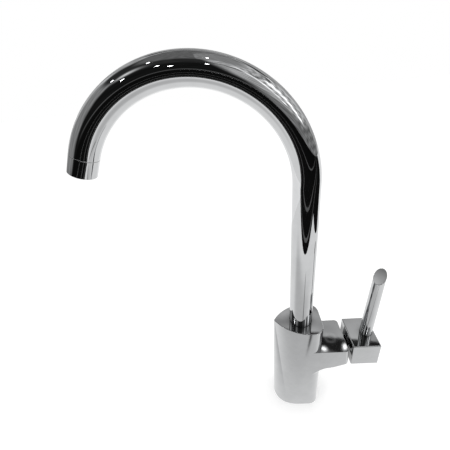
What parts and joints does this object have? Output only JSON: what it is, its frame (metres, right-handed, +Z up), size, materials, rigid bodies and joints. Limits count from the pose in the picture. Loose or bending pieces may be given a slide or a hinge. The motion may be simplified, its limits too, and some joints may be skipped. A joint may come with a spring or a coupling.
{
  "type": "kitchen sink tap",
  "caption": "Gooseneck kitchen sink tap with an upright egg-shaped body, a swivel spout with a separate filtered water way, and a side block with a slender upright lever.",
  "frame": {"origin": "on the worktop under the spout's swivel axis", "axes": "+Z up, the spout at rest points along -X, the lever block stands on the +X side, the user is on the -Y side"},
  "size_m": [0.2922, 0.046, 0.4123],
  "materials": {
    "polished_chrome": "mirror-polished chrome plating over brass",
    "bare_brass": "turned, uncoated",
    "stainless_steel": "turned",
    "black_rubber": "moulded, matt",
    "dark_plastic": "moulded, fine texture",
    "grey_plastic": "moulded, smooth",
    "white_plastic": "extruded or moulded, smooth",
    "white_ceramic": "lapped ceramic"
  },
  "bodies": {
    "tap_body": {"body_casting": "polished_chrome", "base_gasket": "black_rubber", "spout_slip_ring": "dark_plastic", "spout_lock_screw": "stainless_steel", "filtered_water_seal": "black_rubber", "cartridge_gasket": "black_rubber", "cartridge_base": "dark_plastic", "fixed_ceramic_disc": "white_ceramic", "cartridge_shell": "grey_plastic", "cartridge_nut": "stainless_steel"},
    "spout": {"spout_tube": "polished_chrome", "spout_foot": "bare_brass", "spout_sealing_rings": "black_rubber", "filtered_water_tube": "white_plastic", "outlet_bush": "bare_brass", "outlet_nozzle": "polished_chrome", "aerator_cup": "grey_plastic", "aerator_washer": "black_rubber", "filtered_water_core": "white_plastic", "aerator_screen": "grey_plastic"},
    "turret": {"cartridge_turret": "dark_plastic", "lever_pivot_pin": "stainless_steel"},
    "disc": {"moving_ceramic_disc": "white_ceramic", "disc_carrier": "dark_plastic"},
    "lever": {"cartridge_stem": "stainless_steel", "handle_block": "polished_chrome", "handle_screw": "stainless_steel", "lever_rod": "polished_chrome"}
  },
  "joints": [
    {"name": "spout_swivel", "type": "hinge", "parent": "tap_body", "child": "spout", "pos_m": [0, 0, 0.135], "axis": [0, 0, 1], "continuous": true},
    {"name": "temperature_turn", "type": "hinge", "parent": "tap_body", "child": "turret", "pos_m": [0.037, 0, 0.0895], "axis": [1, 0, 0], "range_deg": [-45, 45]},
    {"name": "lever_tilt", "type": "hinge", "parent": "turret", "child": "lever", "pos_m": [0.037, 0, 0.0895], "axis": [0, 1, 0], "range_deg": [-12, 12]},
    {"name": "disc_slide", "type": "slide", "parent": "turret", "child": "disc", "axis": [0, 0, 1], "range_m": [-0.0012, 0.0012]}
  ],
  "couplings": [
    {"joint": "disc_slide", "follows": "lever_tilt", "m_per_rad": 0.00525}
  ]
}
